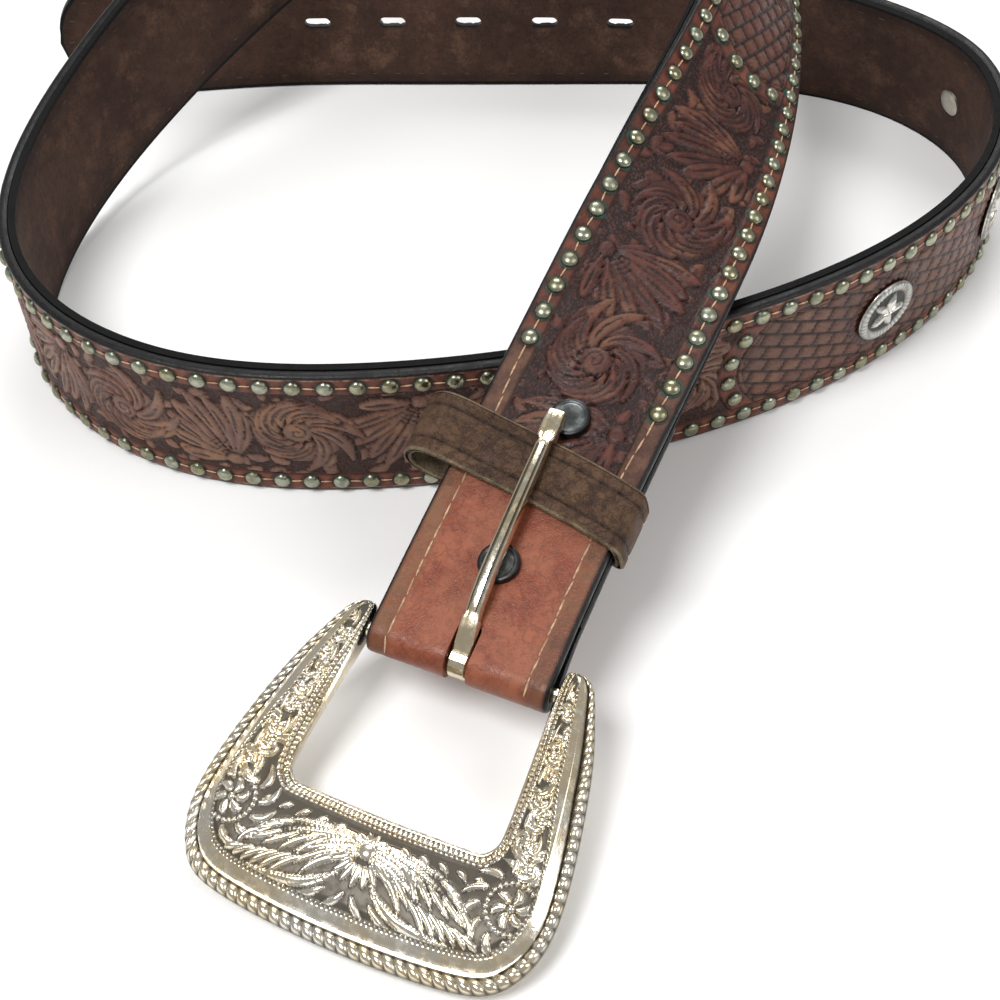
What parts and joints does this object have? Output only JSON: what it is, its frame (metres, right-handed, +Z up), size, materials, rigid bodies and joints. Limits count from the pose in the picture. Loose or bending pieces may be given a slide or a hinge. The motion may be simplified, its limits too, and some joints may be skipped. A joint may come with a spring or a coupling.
{
  "type": "western tooled belt",
  "caption": "Tooled leather belt with studded borders, conchos, a keeper and an engraved horseshoe buckle, unfastened and lying in a loop on its edge",
  "frame": {"origin": "middle of the bounding box in X and Y, on the surface that the belt lies on", "axes": "+Z up; +Y runs from the buckle at the front to the far arc of the loop; +X is to the right as seen from the buckle's side"},
  "size_m": [0.2966, 0.3822, 0.0956],
  "materials": {
    "tooled_leather": "dark mahogany tooled leather, waxed, worn lighter on the raised parts",
    "lining_leather": "nearly black brown lining leather, matt",
    "keeper_leather": "worn brown leather with creases and a raw edge",
    "plated_metal": "pale plated cast metal, polished on the raised parts and dark in the ground",
    "black_metal": "black enamelled screw posts, glossy",
    "silver_metal": "antiqued silver plate"
  },
  "bodies": {
    "belt": {"outer_strap": "tooled_leather", "lining_strap": "lining_leather", "keeper_loop": "keeper_leather", "fold_screw_lower": "black_metal", "fold_screw_upper": "black_metal", "concho_1": "silver_metal", "concho_2": "silver_metal", "concho_3": "silver_metal", "concho_4": "silver_metal", "concho_5": "silver_metal", "concho_6": "silver_metal", "concho_screw_1": "silver_metal", "concho_screw_2": "silver_metal", "concho_screw_3": "silver_metal", "concho_screw_4": "silver_metal", "concho_screw_5": "silver_metal", "concho_screw_6": "silver_metal"},
    "buckle": {"buckle_frame": "plated_metal", "buckle_bar": "plated_metal"},
    "prong": {"prong": "plated_metal"}
  },
  "joints": [
    {"name": "buckle_swing", "type": "hinge", "parent": "belt", "child": "buckle", "pos_m": [-0.0185, -0.11966, 0.02087], "axis": [0.8897, -0.4566, 0], "range_deg": [-100, 60]},
    {"name": "prong_swing", "type": "hinge", "parent": "belt", "child": "prong", "pos_m": [-0.0185, -0.11966, 0.02087], "axis": [0.8897, -0.4566, 0], "range_deg": [0, 150]}
  ]
}
